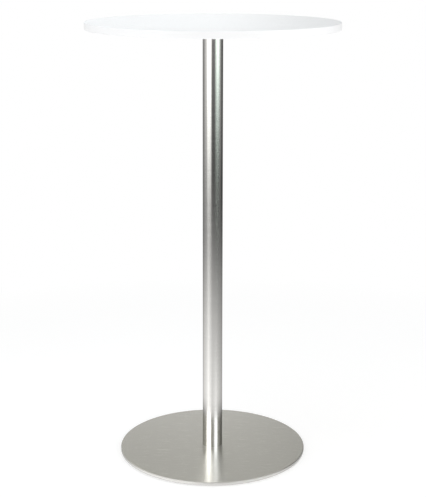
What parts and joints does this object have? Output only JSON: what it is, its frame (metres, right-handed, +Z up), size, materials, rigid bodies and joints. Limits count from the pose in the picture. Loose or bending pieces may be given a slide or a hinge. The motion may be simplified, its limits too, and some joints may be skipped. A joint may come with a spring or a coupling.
{
  "type": "pub table",
  "caption": "Tall round bar-height table: thin white laminate top on a slim brushed stainless column with a flat round weighted base and adjustable floor glides.",
  "frame": {"origin": "on the floor, on the column's axis, under the middle of the base", "axes": "+Z up along the column; X and Y along the arms of the spider under the top"},
  "size_m": [0.5999, 0.6, 1.065],
  "materials": {
    "top_white": "white laminate with a fine satin texture",
    "edge_white": "smooth white plastic edging",
    "core_board": "raw fibreboard",
    "backing_white": "thin white backing laminate",
    "spider_black": "black powder coat",
    "screw_zinc": "zinc plated",
    "bolt_steel": "plain steel, satin",
    "plug_steel": "turned mild steel",
    "column_steel": "stainless, brushed around the tube",
    "base_steel": "stainless, brushed with a straight grain",
    "ballast_steel": "mild steel plate, black primer",
    "glide_nylon": "black nylon",
    "glide_zinc": "zinc plated"
  },
  "bodies": {
    "table": {"top_laminate": "top_white", "edge_band": "edge_white", "top_core": "core_board", "backing_laminate": "backing_white", "top_screws": "screw_zinc", "spider_plate": "spider_black", "spider_bolts": "bolt_steel", "top_plug": "plug_steel", "column_tube": "column_steel", "bottom_plug": "plug_steel", "base_bolts": "bolt_steel", "base_cover": "base_steel", "ballast_plate": "ballast_steel"},
    "glide_pad_1": {"glide_pad_1": "glide_nylon"},
    "glide_screw_1": {"glide_screw_1": "glide_zinc"},
    "glide_pad_2": {"glide_pad_2": "glide_nylon"},
    "glide_screw_2": {"glide_screw_2": "glide_zinc"},
    "glide_pad_3": {"glide_pad_3": "glide_nylon"},
    "glide_screw_3": {"glide_screw_3": "glide_zinc"},
    "glide_pad_4": {"glide_pad_4": "glide_nylon"},
    "glide_screw_4": {"glide_screw_4": "glide_zinc"}
  },
  "joints": [
    {"name": "glide_1_height", "type": "slide", "parent": "table", "child": "glide_pad_1", "axis": [0, 0, -1], "range_m": [0, 0.0025]},
    {"name": "glide_1_turn", "type": "hinge", "parent": "glide_pad_1", "child": "glide_screw_1", "pos_m": [0.13789, 0.13789, 0.005], "axis": [0, 0, -1], "range_deg": [0, 720]},
    {"name": "glide_2_height", "type": "slide", "parent": "table", "child": "glide_pad_2", "axis": [0, 0, -1], "range_m": [0, 0.0025]},
    {"name": "glide_2_turn", "type": "hinge", "parent": "glide_pad_2", "child": "glide_screw_2", "pos_m": [-0.13789, 0.13789, 0.005], "axis": [0, 0, -1], "range_deg": [0, 720]},
    {"name": "glide_3_height", "type": "slide", "parent": "table", "child": "glide_pad_3", "axis": [0, 0, -1], "range_m": [0, 0.0025]},
    {"name": "glide_3_turn", "type": "hinge", "parent": "glide_pad_3", "child": "glide_screw_3", "pos_m": [-0.13789, -0.13789, 0.005], "axis": [0, 0, -1], "range_deg": [0, 720]},
    {"name": "glide_4_height", "type": "slide", "parent": "table", "child": "glide_pad_4", "axis": [0, 0, -1], "range_m": [0, 0.0025]},
    {"name": "glide_4_turn", "type": "hinge", "parent": "glide_pad_4", "child": "glide_screw_4", "pos_m": [0.13789, -0.13789, 0.005], "axis": [0, 0, -1], "range_deg": [0, 720]}
  ],
  "couplings": [
    {"joint": "glide_1_turn", "follows": "glide_1_height", "rad_per_m": 5026.5},
    {"joint": "glide_2_turn", "follows": "glide_2_height", "rad_per_m": 5026.5},
    {"joint": "glide_3_turn", "follows": "glide_3_height", "rad_per_m": 5026.5},
    {"joint": "glide_4_turn", "follows": "glide_4_height", "rad_per_m": 5026.5}
  ]
}
